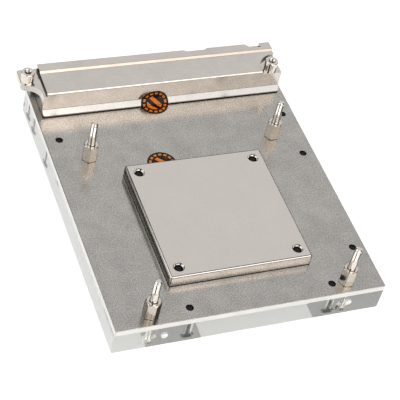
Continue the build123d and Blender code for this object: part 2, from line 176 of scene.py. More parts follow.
@dataclass(frozen=True)
class Finish(ABC):
    """Surface finish that makes its own node material once.

    Attributes:
        name: Material name.
    """

    name: str

    @abstractmethod
    def shade(self, tree: Tree, place: Socket) -> Node:
        """Builds the finish in an empty tree from object coordinates, and gives its shader."""

    def material(self) -> bpy.types.Material:
        """Gives the finish's material, made at the first call.

        Returns:
            The material.
        """
        known = bpy.data.materials.get(self.name)
        if known:
            return known
        made = bpy.data.materials.new(self.name)
        made.use_nodes = True
        tree = made.node_tree
        tree.nodes.clear()
        place = add_node(tree, "ShaderNodeTexCoord", {}).outputs["Object"]
        shader = self.shade(tree, place)
        add_node(tree, "ShaderNodeOutputMaterial", {"Surface": shader.outputs[0]})
        return made

    def pattern(
        self,
        tree: Tree,
        place: Socket,
        size: float,
        detail: float,
        height: float,
        under: Socket | None = None,
    ) -> tuple[Socket, Socket]:
        """Lays a fine noise and its relief.

        Args:
            tree: Node tree of the material.
            place: Coordinates at which the noise is read.
            size: Size of its features.
            detail: How many finer copies it holds.
            height: Height of its relief.
            under: Normal of a relief that lies under this one.

        Returns:
            The noise, and the normal with its relief.
        """
        sizes = {"Vector": place, "Scale": per_size(size), "Detail": detail}
        noise = add_node(tree, "ShaderNodeTexNoise", sizes).outputs[0]
        inputs = {"Height": noise, "Distance": height * MM}
        if under is not None:
            inputs["Normal"] = under
        return noise, add_node(tree, "ShaderNodeBump", inputs).outputs[0]

    def surface(
        self, tree: Tree, noise: Socket, relief: Socket, roughness: Pair, looks: dict[str, object]
    ) -> Node:
        """Builds a shader whose roughness follows a noise.

        Args:
            tree: Node tree of the material.
            noise: Noise that the roughness follows.
            relief: Normal with the relief.
            roughness: Lowest and highest roughness.
            looks: Values and links of the other sockets.

        Returns:
            The shader node.
        """
        ends = {"From Min": NOISE_LOW, "From Max": NOISE_HIGH, "To Min": roughness[0], "To Max": roughness[1]}
        rough = add_node(tree, "ShaderNodeMapRange", {"Value": noise, **ends}).outputs[0]
        return add_node(tree, "ShaderNodeBsdfPrincipled", {**looks, "Roughness": rough, "Normal": relief})


@dataclass(frozen=True)
class PlatedMetal(Finish):
    """Nickel plating, or bare steel, with a fine grain, a faint mottle and the tool's marks.

    Attributes:
        tone: Colour of the metal's reflection.
        shade_tone: Colour of the darker specks and clouds.
        roughness: Lowest and highest roughness.
        grain: Size of the specks.
        grain_height: Height of the specks' relief.
        cloud: Size of the soft clouds in the plating.
        cloud_share: How much the clouds, against the specks, darken the colour.
        lay: Direction of the tool marks.
        mark_width: Width of the tool marks.
        mark_height: Height of the tool marks.
    """

    tone: str
    shade_tone: str
    roughness: Pair
    grain: float = 0.4
    grain_height: float = 0.001
    cloud: float = 9.0
    cloud_share: float = 0.5
    lay: Lay = Lay.NONE
    mark_width: float = 0.35
    mark_height: float = 0.0004

    def shade(self, tree: Tree, place: Socket) -> Node:
        """Builds the metal from specks, clouds and tool marks.

        Args:
            tree: Empty node tree of the material.
            place: Object coordinates.

        Returns:
            The shader node.
        """
        specks, speckled = self.pattern(tree, place, self.grain, PLAIN_DETAIL, self.grain_height)
        sizes = {"Vector": place, "Scale": per_size(self.cloud), "Detail": CLOUD_DETAIL}
        clouds = add_node(tree, "ShaderNodeTexNoise", sizes).outputs[0]
        drawn = add_node(tree, "ShaderNodeMapping", {"Vector": place, "Scale": self.lay.value}).outputs[0]
        marks, relief = self.pattern(tree, drawn, self.mark_width, FINE_DETAIL, self.mark_height, speckled)
        shares = {"Factor": self.cloud_share, "A": specks, "B": clouds}
        blend = add_node(tree, "ShaderNodeMix", shares, data_type="FLOAT").outputs[0]
        ends = {"Value": blend, "From Min": MOTTLE_LOW, "From Max": MOTTLE_HIGH}
        mottle = add_node(tree, "ShaderNodeMapRange", ends).outputs[0]
        tones = {Mix.FACTOR: mottle, Mix.FIRST: linear(self.shade_tone), Mix.SECOND: linear(self.tone)}
        colour = add_node(tree, "ShaderNodeMix", tones, data_type="RGBA").outputs[Mix.RESULT]
        return self.surface(tree, marks, relief, self.roughness, {"Base Color": colour, "Metallic": 1.0})


@dataclass(frozen=True)
class ClearAcrylic(Finish):
    """Cast acrylic: polished outside, faintly frosted where a cutter went through it.

    Attributes:
        tint: Colour of the light that passes.
        roughness: Lowest and highest roughness.
        ripple: Size of the soft ripples that polishing or milling leaves.
        ripple_height: Height of these ripples.
        ior: Refraction of acrylic glass.
    """

    tint: str
    roughness: Pair
    ripple: float
    ripple_height: float
    ior: float = 1.49

    def shade(self, tree: Tree, place: Socket) -> Node:
        """Builds the clear plastic.

        Args:
            tree: Empty node tree of the material.
            place: Object coordinates.

        Returns:
            The shader node.
        """
        ripples, relief = self.pattern(tree, place, self.ripple, PLAIN_DETAIL, self.ripple_height)
        looks = {"Base Color": linear(self.tint), "IOR": self.ior, "Transmission Weight": 1.0}
        return self.surface(tree, ripples, relief, self.roughness, looks)


@dataclass(frozen=True)
class DarkSurface(Finish):
    """Black rubber, black oxide or painted shade: dark, with a fine grain in its gloss.

    Attributes:
        tone: Colour of the surface.
        shade_tone: Colour of its darker specks.
        metallic: One for oxide on steel, none for rubber and painted shade.
        roughness: Lowest and highest roughness.
        grain: Size of the grain.
        grain_height: Height of the grain.
    """

    tone: str
    shade_tone: str
    metallic: float
    roughness: Pair
    grain: float = 0.25
    grain_height: float = 0.002

    def shade(self, tree: Tree, place: Socket) -> Node:
        """Builds the dark surface.

        Args:
            tree: Empty node tree of the material.
            place: Object coordinates.

        Returns:
            The shader node.
        """
        specks, relief = self.pattern(tree, place, self.grain, FINE_DETAIL, self.grain_height)
        tones = {Mix.FACTOR: specks, Mix.FIRST: linear(self.shade_tone), Mix.SECOND: linear(self.tone)}
        colour = add_node(tree, "ShaderNodeMix", tones, data_type="RGBA").outputs[Mix.RESULT]
        looks = {"Base Color": colour, "Metallic": self.metallic}
        return self.surface(tree, specks, relief, self.roughness, looks)


@dataclass(frozen=True)
class PrintedPaper(Finish):
    """Glossy paper seal, printed black with an orange ring of dashes round orange stripes.

    The print is a plain pattern. It reads the seal's own UV map, which holds each
    point of the flat disc in shares of its radius, so it follows the bends.

    Attributes:
        ground: Colour of the black ground.
        ink: Colour of the orange ink.
        deep_ink: Colour where the ink is laid on thick.
        ring: Inner and outer radius of the dashed ring.
        dashes: Dashes round the ring.
        dash_level: Level of a wave round the ring above which a dash is printed.
        middle: Radius of the striped middle.
        stripes: Stripes for each radius length.
        patch: Size of the patches of thick ink.
        fibre: Size of the paper's fibres.
        fibre_height: Height of the fibres.
    """

    ground: str
    ink: str
    deep_ink: str
    ring: Pair = (0.70, 0.86)
    dashes: float = 14.0
    dash_level: float = -0.35
    middle: float = 0.56
    stripes: float = 2.6
    patch: float = 1.6
    fibre: float = 0.5
    fibre_height: float = 0.004

    def shade(self, tree: Tree, place: Socket) -> Node:
        """Builds the print and the faint gloss over it.

        Args:
            tree: Empty node tree of the material.
            place: Object coordinates.

        Returns:
            The shader node.
        """
        sizes = {"Vector": place, "Scale": per_size(self.patch)}
        patches = add_node(tree, "ShaderNodeTexNoise", sizes).outputs[0]
        inks = {Mix.FACTOR: patches, Mix.FIRST: linear(self.deep_ink), Mix.SECOND: linear(self.ink)}
        ink = add_node(tree, "ShaderNodeMix", inks, data_type="RGBA").outputs[Mix.RESULT]
        tones = {Mix.FACTOR: self.inked(tree), Mix.FIRST: linear(self.ground), Mix.SECOND: ink}
        colour = add_node(tree, "ShaderNodeMix", tones, data_type="RGBA").outputs[Mix.RESULT]
        relief = self.pattern(tree, place, self.fibre, PLAIN_DETAIL, self.fibre_height)[1]
        looks = {"Base Color": colour, "Roughness": 0.45, "Specular IOR Level": 0.3, "Normal": relief}
        coat = {"Coat Weight": 0.1, "Coat Roughness": 0.15}
        return add_node(tree, "ShaderNodeBsdfPrincipled", {**looks, **coat})

    def inked(self, tree: Tree) -> Socket:
        """Works out where the ink is.

        Args:
            tree: Node tree of the material.

        Returns:
            One on the ink and none beside it.
        """
        flat = add_node(tree, "ShaderNodeUVMap", {}, uv_map="flat").outputs[0]
        centring = {"Vector": flat, "Location": (-1.0, -1.0, 0.0), "Scale": (2.0, 2.0, 1.0)}
        centred = add_node(tree, "ShaderNodeMapping", centring).outputs[0]
        axes = add_node(tree, "ShaderNodeSeparateXYZ", {0: centred}).outputs
        reach = add_node(tree, "ShaderNodeVectorMath", {0: centred}, operation="LENGTH").outputs["Value"]
        known = {"x": axes["X"], "y": axes["Y"], "reach": reach}
        steps = (
            ("turn", "ARCTAN2", "y", "x"),
            ("dash turn", "MULTIPLY", "turn", self.dashes),
            ("dash wave", "SINE", "dash turn", 0.0),
            ("dash", "GREATER_THAN", "dash wave", self.dash_level),
            ("past inner", "GREATER_THAN", "reach", self.ring[0]),
            ("within outer", "LESS_THAN", "reach", self.ring[1]),
            ("band", "MULTIPLY", "past inner", "within outer"),
            ("ring", "MULTIPLY", "band", "dash"),
            ("slant", "ADD", "x", "y"),
            ("stripe turn", "MULTIPLY", "slant", self.stripes * math.pi),
            ("stripe wave", "SINE", "stripe turn", 0.0),
            ("stripe", "GREATER_THAN", "stripe wave", 0.0),
            ("in middle", "LESS_THAN", "reach", self.middle),
            ("striped", "MULTIPLY", "in middle", "stripe"),
            ("ink", "MAXIMUM", "ring", "striped"),
        )
        for name, operation, first, second in steps:
            inputs = {0: known[first], 1: known.get(second, second)}
            known[name] = add_node(tree, "ShaderNodeMath", inputs, operation=operation).outputs[0]
        return known["ink"]


@dataclass(frozen=True)
class MattSurface(Finish):
    """Matt surface, such as the table, paper, card and the plugs.

    Attributes:
        tone: Colour of the surface.
        glow: Soft light that it gives: an even light on the table, as if lit from below, and painted light on
            the plugs and papers.
        roughness: How matt it is.
    """

    tone: str
    glow: float
    roughness: float = 0.9

    def shade(self, tree: Tree, place: Socket) -> Node:
        """Builds the matt surface.

        Args:
            tree: Empty node tree of the material.
            place: Object coordinates.

        Returns:
            The shader node.
        """
        tone = linear(self.tone)
        looks = {"Base Color": tone, "Roughness": self.roughness, "Emission Color": tone}
        return add_node(tree, "ShaderNodeBsdfPrincipled", {**looks, "Emission Strength": self.glow})


# Satin electroless nickel over a bead-blasted plate: even grey, soft reflections, fine specks.
# Its real grain is under 0.1 mm, drawn at 0.42 mm because a finer one would not show.
SATIN_PLATE = PlatedMetal(
    "satin nickel plating", "#cfccc7", "#989591", (0.2, 0.27),
    grain=0.42, grain_height=0.0015, cloud=7.0, cloud_share=0.2,
)

# The plate's milled edge took the same plating, but was never blasted: brighter, with long fine lines.
PLATE_EDGE = PlatedMetal(
    "satin nickel on a milled edge", "#e2e0dd", "#d2d0cc", (0.16, 0.24), cloud=6.0, lay=Lay.ALONG_X
)

# Bright nickel on a lapped copper face: lighter and warmer, nearly a mirror.
CONTACT_FACE = PlatedMetal(
    "lapped bright nickel", "#d9d3cd", "#d4cec7", (0.12, 0.17),
    grain=0.9, grain_height=0.0005, cloud=14.0, lay=Lay.ALONG_Y,
)

# Nickel over milled copper: the cutter's lines run along the bar.
MILLED_BAR = PlatedMetal(
    "nickel plated milled copper", "#d8d2cb", "#ccc6bf", (0.12, 0.18),
    grain=0.6, grain_height=0.0006, cloud=10.0, lay=Lay.ALONG_X,
)

# Round the ear and in the corner pocket the cutter's flank left a duller face, toned darker than the bar as
# painted shade.
FLANK_MILLED_SHADED = PlatedMetal(
    "nickel plated flank milled copper with painted shade", "#c4c0ba", "#b8b4ae", (0.16, 0.22),
    grain=0.6, grain_height=0.0006, cloud=8.0,
)

# The narrow slope between the bar's two lands gets a duller, darker and warmer copy of the bar's plating:
# painted shade.
SLOPE_SHADED = PlatedMetal(
    "painted shade on the narrow slope's nickel", "#c3b9ae", "#b9afa4", (0.2, 0.28),
    grain=0.6, grain_height=0.0006, cloud=8.0, lay=Lay.ALONG_X,
)

# Bright nickel on turned brass: the tool's fine rings draw each reflection out into an upright streak.
# Real rings are 0.05 mm apart, drawn at 0.15 mm because finer ones would not show.
TURNED_BRIGHT = PlatedMetal(
    "bright nickel on turned brass", "#dcd6cf", "#d3cdc4", (0.05, 0.08),
    grain=0.5, grain_height=0.0002, lay=Lay.TURNED, mark_width=0.15, mark_height=0.012,
)

# Nickel on drawn hexagon bar: duller and browner than the turned parts, with faint lines up the flats.
DRAWN_HEX = PlatedMetal(
    "nickel on drawn hexagon bar", "#cbc3b8", "#b4aca2", (0.12, 0.18),
    grain=0.5, grain_height=0.0004, lay=Lay.DRAWN, mark_width=0.9, mark_height=0.12,
)

# Rolled stainless sheet: an even dull grey with long faint lines.
SHEET_STEEL = PlatedMetal("plain stainless sheet", "#cfcdca", "#bfbdba", (0.28, 0.36), lay=Lay.ALONG_X)

# Cast acrylic is as clear as glass where it is polished, and faintly frosted where a cutter left it.
POLISHED_ACRYLIC = ClearAcrylic("polished cast acrylic", "#fbfdfc", (0.01, 0.05), 6.0, 0.004)
MILLED_ACRYLIC = ClearAcrylic("milled cast acrylic", "#f6f9f8", (0.03, 0.1), 0.8, 0.003)

# Black oxide gives the screws a dark satin gloss; painted shade makes a dull brown black line in the joints,
# the screw holes and the spacers' feet; and moulded rubber is an even, dull black.
BLACK_OXIDE = DarkSurface("black oxide on steel", "#353436", "#1b1a1c", 1.0, (0.14, 0.24))
JOINT_SHADOW = DarkSurface("painted shade in joints and holes", "#2b221b", "#150f0b", 0.0, (0.6, 0.8))
RING_RUBBER = DarkSurface("nitrile rubber", "#17171a", "#0d0d0e", 0.0, (0.5, 0.62), grain_height=0.004)

# Offset print on coated paper: flat ink under a faint gloss.
SEAL_PRINT = PrintedPaper("printed gloss paper", "#0e0a08", "#ff9a2c", "#f47c18")

# White plastic plugs glow in the acrylic as painted highlights. The table is lit from below, the glowing
# paper paints light and the grey papers paint shade into the clear cover's pale and grey zones, and the card
# is a black that nothing lights.
GLOWING_PLUG = MattSurface("glowing white plug, painted highlight", "#f2f1ee", 0.35)
WHITE_TABLE = MattSurface("matt white table", "#f4f4f4", 0.68)
GLOWING_UNDERLAY = MattSurface("glowing paper, painted light in the cover", "#d6d6d3", 0.64)
SHADED_PAPER = MattSurface("grey paper, painted shade in the cover", "#b0afac", 0.45)
BLACK_CARD = MattSurface("black card", "#020202", 0.0)


@dataclass(frozen=True)
class Span:
    """Box that a CAD node fills, in millimetres."""

    low: Vector
    high: Vector

    @classmethod
    def of(cls, node: str) -> "Span":
        """Measures a CAD node."""
        low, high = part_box(node)
        return cls(low / MM, high / MM)

    @property
    def centre(self) -> Vector:
        """Middle of the box."""
        return (self.low + self.high) / 2

    @property
    def radius(self) -> float:
        """Half the width of the box."""
        return (self.high.x - self.low.x) / 2

    def side_gap(self, point: Vector) -> float:
        """Distance of a point from the nearest upright side."""
        low, high = self.low, self.high
        return min(point.x - low.x, high.x - point.x, point.y - low.y, high.y - point.y)

    def take(self, bm: BMesh) -> None:
        """Moves a turned body from the upright axis to the middle of the box."""
        bmesh.ops.translate(bm, verts=bm.verts, vec=(self.centre.x, self.centre.y, 0.0))


def weld(bm: BMesh) -> None:
    """Merges doubled points and turns all faces outwards."""
    bmesh.ops.remove_doubles(bm, verts=bm.verts, dist=WELD)
    bmesh.ops.recalc_face_normals(bm, faces=bm.faces)


def round_over(bm: BMesh, edges: Sequence, width: float, segments: int = 2) -> None:
    """Rounds edges over by a small width.

    Args:
        bm: Mesh that holds the edges.
        edges: Edges to round.
        width: Width of the rounding.
        segments: Steps across it.
    """
    bmesh.ops.bevel(
        bm, geom=list(edges), offset=width, offset_type="OFFSET", segments=segments,
        profile=0.5, affect="EDGES", clamp_overlap=False, material=-1,
    )


def cut_along(bm: BMesh, point: Vector, normal: Vector, clear_outer: bool = False) -> list:
    """Cuts a mesh along a plane.

    Args:
        bm: Mesh to cut.
        point: Point on the plane.
        normal: Normal of the plane.
        clear_outer: Whether what is beyond the plane goes.

    Returns:
        The edges of the cut.
    """
    cut = bmesh.ops.bisect_plane(
        bm, geom=bm.verts[:] + bm.edges[:] + bm.faces[:], dist=WELD,
        plane_co=point, plane_no=normal, clear_outer=clear_outer,
    )
    return [g for g in cut["geom_cut"] if isinstance(g, bmesh.types.BMEdge)]


def sharp_edges(bm: BMesh, where: Callable[[Vector], bool], least: float = SHARP_TURN) -> list:
    """Finds the edges that turn by more than an angle and whose ends are all in one region.

    Args:
        bm: Mesh to search.
        where: Test of a point in millimetres.
        least: Smallest turn in degrees.

    Returns:
        The edges found.
    """
    turn = math.radians(least)
    sharp = [edge for edge in bm.edges if edge.is_manifold and edge.calc_face_angle(0.0) > turn]
    return [edge for edge in sharp if all(where(v.co) for v in edge.verts)]


def merged_copy(node: str) -> BMesh:
    """Copies a CAD node's mesh in millimetres, merged and with its flat faces whole again.

    Args:
        node: Name of the CAD node.

    Returns:
        The copy as a new bmesh.
    """
    bm = bmesh.new()
    bm.from_mesh(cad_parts[node].data)
    bmesh.ops.scale(bm, vec=(1 / MM,) * 3, verts=bm.verts)
    bmesh.ops.remove_doubles(bm, verts=bm.verts, dist=WELD)
    turn = math.radians(FLAT_TURN)
    bmesh.ops.dissolve_limit(
        bm, angle_limit=turn, use_dissolve_boundaries=False, verts=bm.verts, edges=bm.edges
    )
    return bm


def screw_places(node: str, apart: float = 1.0) -> Places:
    """Finds the middle of each screw of a set from the flat faces of the tips.

    Args:
        node: CAD node that holds the set.
        apart: Least distance between two screws.

    Returns:
        Places as (x, y), from left to right.
    """
    bm = merged_copy(node)
    top = max(v.co.z for v in bm.verts)
    tips = [face.calc_center_median() for face in bm.faces if face.normal.z > LEVEL]
    bm.free()
    places: list[Pair] = []
    for tip in tips:
        is_new = all((tip.xy - Vector(place)).length > apart for place in places)
        if is_new and abs(tip.z - top) < WELD:
            places.append((tip.x, tip.y))
    return sorted(places)


def thread(start: float, end: float, first: float, second: float) -> Places:
    """Draws a thread as rings, since the lead of one turn is too small to see.

    Args:
        start: Level at which it starts.
        end: Level that it doesn't pass.
        first: Radius at the start of each ring.
        second: Radius half a pitch further on.

    Returns:
        Points as (radius, level).
    """
    step = math.copysign(M3_PITCH, end - start)
    levels = [start + turn * step for turn in range(int(abs(end - start) / M3_PITCH))]
    return [point for level in levels for point in ((first, level), (second, level + step / 2))]


def lathe(profile: Places, closed: bool = False, facets: int = FACETS) -> BMesh:
    """Turns a profile about the upright axis.

    Args:
        profile: Points as (radius, level).
        closed: Whether the last point joins the first, as on a ring.
        facets: Steps of the full turn.

    Returns:
        The turned body as a new bmesh.
    """
    bm = bmesh.new()
    points = [bm.verts.new((radius, 0.0, level)) for radius, level in profile]
    for first, second in zip(points, points[1:]):
        bm.edges.new((first, second))
    if closed:
        bm.edges.new((points[-1], points[0]))
    bmesh.ops.spin(
        bm, geom=bm.verts[:] + bm.edges[:], cent=(0.0, 0.0, 0.0), axis=UP,
        dvec=(0.0, 0.0, 0.0), angle=math.tau, steps=facets, use_merge=True, use_duplicate=False,
    )
    weld(bm)
    return bm


def add_hex_socket(bm: BMesh, across_flats: float, mouth: float, depth: float, rim: float) -> None:
    """Sinks a hexagon socket into the open underside of a screw head.

    Args:
        bm: Screw whose head is open at its rim.
        across_flats: Width of the socket.
        mouth: Level of the head's face.
        depth: Depth of the socket.
        rim: Radius of the open rim.
    """
    at_rim = {v for v in bm.verts if abs(v.co.z - mouth) < WELD and v.co.xy.length > rim / 2}
    open_rim = [edge for edge in bm.edges if edge.is_boundary and at_rim.issuperset(edge.verts)]
    hexagon = bmesh.ops.create_circle(
        bm, segments=HEX_SIDES, radius=across_flats / math.sqrt(3), cap_ends=False,
        matrix=Matrix.Translation(UP * mouth),
    )
    mouth_edges = list({edge for vert in hexagon["verts"] for edge in vert.link_edges})
    bmesh.ops.bridge_loops(bm, edges=open_rim + mouth_edges)
    walls = bmesh.ops.extrude_edge_only(bm, edges=mouth_edges)
    floor_points = [g for g in walls["geom"] if isinstance(g, bmesh.types.BMVert)]
    floor_edges = [g for g in walls["geom"] if isinstance(g, bmesh.types.BMEdge)]
    bmesh.ops.translate(bm, verts=floor_points, vec=UP * depth)
    bmesh.ops.edgeloop_fill(bm, edges=floor_edges)
    weld(bm)


def undercut(bm: BMesh, low: Vector, high: Vector, depth: float) -> None:
    """Draws the lowest part of a block's sides in, and paints the joint round its foot dark as painted shade.

    Args:
        bm: Block that stands on its lowest face.
        low: Left front corner of the block's foot.
        high: Right back corner of the block.
        depth: Depth of the joint.
    """
    top = low.z + JOINT_HEIGHT
    for level in (top, top + JOINT_LEDGE):
        cut_along(bm, UP * level, UP)
    middle, half = (low + high) / 2, (high - low) / 2
    foot = [
        v
        for v in bm.verts
        if v.co.z < top + WELD
        and (abs(v.co.x - middle.x) > half.x - JOINT_ZONE or abs(v.co.y - middle.y) > half.y - JOINT_ZONE)
    ]
    bmesh.ops.scale(
        bm, verts=foot, vec=(1 - depth / half.x, 1 - depth / half.y, 1.0),
        space=Matrix.Translation((-middle.x, -middle.y, 0.0)),
    )
    # Faces of the joint get the painted shade.
    for face in bm.faces:
        face.material_index = PAINTED_SHADE_INDEX if face.calc_center_median().z < top + JOINT_LEDGE else 0


def show(name: str, bm: BMesh, finishes: Iterable[Finish]) -> Object:
    """Puts a mesh into the scene.

    Args:
        name: Name of the object.
        bm: Its mesh in metres, which is used up.
        finishes: Its finishes, in the order of the faces' indices.

    Returns:
        The new object.
    """
    mesh = bpy.data.meshes.new(name)
    bm.to_mesh(mesh)
    bm.free()
    for finish in finishes:
        mesh.materials.append(finish.material())
    made = bpy.data.objects.new(name, mesh)
    bpy.context.scene.collection.objects.link(made)
    return made


@dataclass
class SubAssembly(ABC):
    """Group of pieces that are made and dressed together."""

    @abstractmethod
    def build(self) -> list[Object]:
        """Builds the group's pieces, dresses its CAD nodes, and gives the objects that show."""

    def piece(
        self,
        name: str,
        bm: BMesh,
        finishes: Iterable[Finish],
        slot: Slot,
        replaced: Iterable[str],
        crease: float = CREASE,
    ) -> Object:
        """Finishes a mesh as a piece that rides on the block.

        Args:
            name: Name of the piece.
            bm: Its mesh in millimetres, which is used up.
            finishes: Its finishes, in the order of the faces' indices.
            slot: Material slot of the record; not used.
            replaced: CAD nodes that it stands for.
            crease: Angle in degrees above which an edge stays sharp.

        Returns:
            The new object.
        """
        bmesh.ops.scale(bm, vec=(MM,) * 3, verts=bm.verts)
        for face in bm.faces:
            face.smooth = True
        made = show(name, bm, finishes)
        made.data.set_sharp_from_angle(angle=math.radians(crease))
        even = made.modifiers.new("even shading", "WEIGHTED_NORMAL")
        even.keep_sharp = True
        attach(made, BODY)
        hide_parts(*replaced)
        return made

    def dress(self, node: str, finish: Finish) -> Object:
        """Gives a CAD node its finish.

        Args:
            node: Name of the CAD node.
            finish: Finish for all its faces.

        Returns:
            The node's object.
        """
        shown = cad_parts[node]
        shown.data.materials.clear()
        shown.data.materials.append(finish.material())
        return shown


@dataclass
class ClearCover(SubAssembly):
    """Thick acrylic cover with its channels, and the main O-ring in it.

    Attributes:
        air_gap: Air between the acrylic and the metal on it, which keeps the inner mirror.
        ring_gap: Air under the O-ring.
        groove_depth: Depth of the O-ring's groove.
        edge_break: Width of the chamfer along the outer edges.
        side_zone: Distance from a side within which a face is an outer one.
        crease: Angle in degrees above which an edge stays sharp.
        plugs: Places of the two glowing plugs, painted highlights in the front face, as x and level.
        plug_radius: Radius of a plug.
        plug_depth: Length of a plug.
    """

    air_gap: float = 0.03
    ring_gap: float = 0.02
    groove_depth: float = 1.4
    edge_break: float = 0.35
    side_zone: float = 1.0
    crease: float = 25.0
    plugs: Places = ((-34.9, -12.7), (40.7, -11.8))
    plug_radius: float = 1.3
    plug_depth: float = 2.0

    def build(self) -> list[Object]:
        """Builds the cover and dresses its O-ring.

        Returns:
            The cover and the O-ring.
        """
        span = Span.of("clear_cover")
        top = span.high.z
        groove_floor = top - self.groove_depth
        bm = merged_copy("clear_cover")
        for vert in bm.verts:
            if abs(vert.co.z - top) < WELD:
                vert.co.z -= self.air_gap
            elif abs(vert.co.z - groove_floor) < WELD:
                vert.co.z -= self.ring_gap
        for face in bm.faces:
            face.material_index = 0 if self.is_outer(face, span) else 1
        outline = sharp_edges(bm, lambda p: span.side_gap(p) < WELD)
        round_over(bm, outline, self.edge_break, 1)
        finishes = (POLISHED_ACRYLIC, MILLED_ACRYLIC, GLOWING_PLUG)
        # The plugs glow as painted highlights.
        for x, level in self.plugs:
            front = Vector((x, span.low.y + self.air_gap, level))
            self.add_plug(bm, front, finishes.index(GLOWING_PLUG))
        cover = self.piece("acrylic_cover", bm, finishes, Slot.ACRYLIC, ("clear_cover",), self.crease)
        return [cover, self.dress("main_o_ring", RING_RUBBER)]

    def is_outer(self, face: bmesh.types.BMFace, span: Span) -> bool:
        """Tells a polished outer face of the cover from one that a cutter left inside.

        Args:
            face: Face of the cover.
            span: The cover's box.

        Returns:
            Whether it is an outer face.
        """
        levels = [v.co.z for v in face.verts]
        flat = min(levels) > span.high.z - 2 * self.air_gap or max(levels) < span.low.z + WELD
        return flat or span.side_gap(face.calc_center_median()) < self.side_zone

    def add_plug(self, bm: BMesh, front: Vector, index: int) -> None:
        """Sets a white round plug, which glows as a painted highlight, into a drilled hole behind the front
        face.

        Args:
            bm: Mesh of the cover.
            front: Middle of the plug's front.
            index: Index of the plug's finish.
        """
        turn = Matrix.Rotation(math.radians(90), 4, "X")
        place = Matrix.Translation(front + Vector((0.0, self.plug_depth / 2, 0.0))) @ turn
        plug = bmesh.ops.create_cone(
            bm, cap_ends=True, segments=SCREW_FACETS, radius1=self.plug_radius, radius2=self.plug_radius,
            depth=self.plug_depth, matrix=place,
        )
        for face in {face for vert in plug["verts"] for face in vert.link_faces}:
            face.material_index = index


@dataclass
class BasePlate(SubAssembly):
    """Thin satin plate over the channels.

    Attributes:
        edge_softness: Rounding of the outline and of the holes' rims.
        top_zone: Depth from the top within which edges are rounded.
    """

    edge_softness: float = 0.08
    top_zone: float = 0.5

    def build(self) -> list[Object]:
        """Builds the plate with softened edges and rims.

        Returns:
            The plate.
        """
        span = Span.of("base_plate")
        bm = merged_copy("base_plate")
        lowest = span.high.z - self.top_zone
        round_over(bm, sharp_edges(bm, lambda p: p.z > lowest), self.edge_softness)
        for face in bm.faces:
            at_edge = span.side_gap(face.calc_center_median()) < self.edge_softness
            face.material_index = 1 if at_edge else 0
        return [self.piece("satin_plate", bm, (SATIN_PLATE, PLATE_EDGE), Slot.PLATE, ("base_plate",))]


@dataclass
class ColdPlate(SubAssembly):
    """Square contact plate with its fins, jet plate and O-ring.

    Attributes:
        chamfer: Width of the chamfer along the upper edges.
        chamfer_zone: Depth from the top within which that chamfer lies.
        edge_softness: Rounding of that chamfer's two edges.
        mouth_zone: Depth from the top within which the screw holes' rims lie.
        mouth_softness: Rounding of these rims.
        mouth_reach: Distance from a screw within which a rim is its own.
        mouth_share: Width of a burnished mouth against the drilled one.
        bright_rim: Depth to which a mouth is bright; below it, its walls are painted dark as shade.
        joint_depth: Depth of the joint under the plate's sides, painted dark as shade.
    """

    chamfer: float = 0.6
    chamfer_zone: float = 0.7
    edge_softness: float = 0.34
    mouth_zone: float = 0.05
    mouth_softness: float = 0.05
    mouth_reach: float = 3.0
    mouth_share: float = 0.9
    bright_rim: float = 0.75
    joint_depth: float = 0.8

    def build(self) -> list[Object]:
        """Builds the contact plate and dresses what is under it.

        Returns:
            The contact plate, the jet plate and the O-ring.
        """
        span = Span.of("cold_plate")
        bm = merged_copy("cold_plate")
        top = span.high.z
        inner = span.high.x - self.chamfer - self.edge_softness
        edge_low, mouth_low = top - self.chamfer_zone, top - self.mouth_zone
        at_edge = sharp_edges(bm, lambda p: p.z > edge_low and max(abs(p.x), abs(p.y)) > inner)
        round_over(bm, at_edge, self.edge_softness, 3)
        mouths = sharp_edges(bm, lambda p: p.z > mouth_low and max(abs(p.x), abs(p.y)) < inner)
        screws = [Vector(place) for place in screw_places("cold_plate_screws")]
        for screw in screws:
            rim = {v for edge in mouths for v in edge.verts if (v.co.xy - screw).length < self.mouth_reach}
            bmesh.ops.scale(
                bm, verts=list(rim), vec=(self.mouth_share, self.mouth_share, 1.0),
                space=Matrix.Translation((-screw.x, -screw.y, 0.0)),
            )
        round_over(bm, mouths, self.mouth_softness)
        undercut(bm, span.low, span.high, self.joint_depth)
        shaded_below = top - self.bright_rim
        cut_along(bm, UP * shaded_below, UP)
        # Below the bright rim the holes' walls get painted shade.
        for face in bm.faces:
            middle = face.calc_center_median()
            near = any((middle.xy - screw).length < self.mouth_reach for screw in screws)
            if near and abs(face.normal.z) < LEVEL and middle.z < shaded_below:
                face.material_index = PAINTED_SHADE_INDEX
        plate = self.piece("contact_plate", bm, (CONTACT_FACE, JOINT_SHADOW), Slot.CONTACT, ("cold_plate",))
        return [plate, self.dress("jet_plate", SHEET_STEEL), self.dress("cold_plate_o_ring", RING_RUBBER)]


